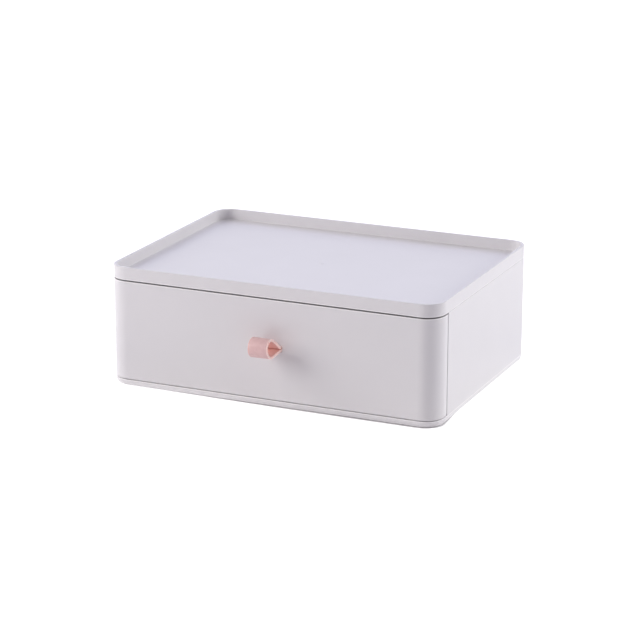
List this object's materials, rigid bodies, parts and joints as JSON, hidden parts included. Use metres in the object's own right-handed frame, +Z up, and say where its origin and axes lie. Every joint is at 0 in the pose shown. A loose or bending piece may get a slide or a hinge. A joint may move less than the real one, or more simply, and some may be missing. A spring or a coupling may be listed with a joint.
{
  "type": "stackable desk organizer drawer unit",
  "caption": "Low stackable desk organizer: a white cabinet with rounded corners, an open tray top, and a drawer that slides out by a folded leather pull strap.",
  "frame": {"origin": "under the middle of the casing's plan, on the surface that the unit stands on", "axes": "+X to the right along the width, -Y out of the drawer front, +Z up"},
  "size_m": [0.235, 0.1936, 0.082],
  "materials": {
    "shell_white": "satin moulded white",
    "box_white": "fine moulded texture, white",
    "strap_pink": "smooth pink leather with cut edges",
    "rivet_steel": "plain zinc-plated steel",
    "pad_rubber": "soft light grey"
  },
  "bodies": {
    "casing": {"casing_shell": "shell_white", "top_tray": "shell_white", "foot_pad_front_left": "pad_rubber", "foot_pad_front_right": "pad_rubber", "foot_pad_back_left": "pad_rubber", "foot_pad_back_right": "pad_rubber"},
    "drawer": {"drawer_front": "shell_white", "drawer_box": "box_white", "pull_strap": "strap_pink", "strap_keeper": "box_white", "strap_rivet_left": "rivet_steel", "strap_rivet_right": "rivet_steel"}
  },
  "joints": [
    {"name": "drawer_slide", "type": "slide", "parent": "casing", "child": "drawer", "axis": [0, -1, 0], "range_m": [0, 0.12]}
  ]
}
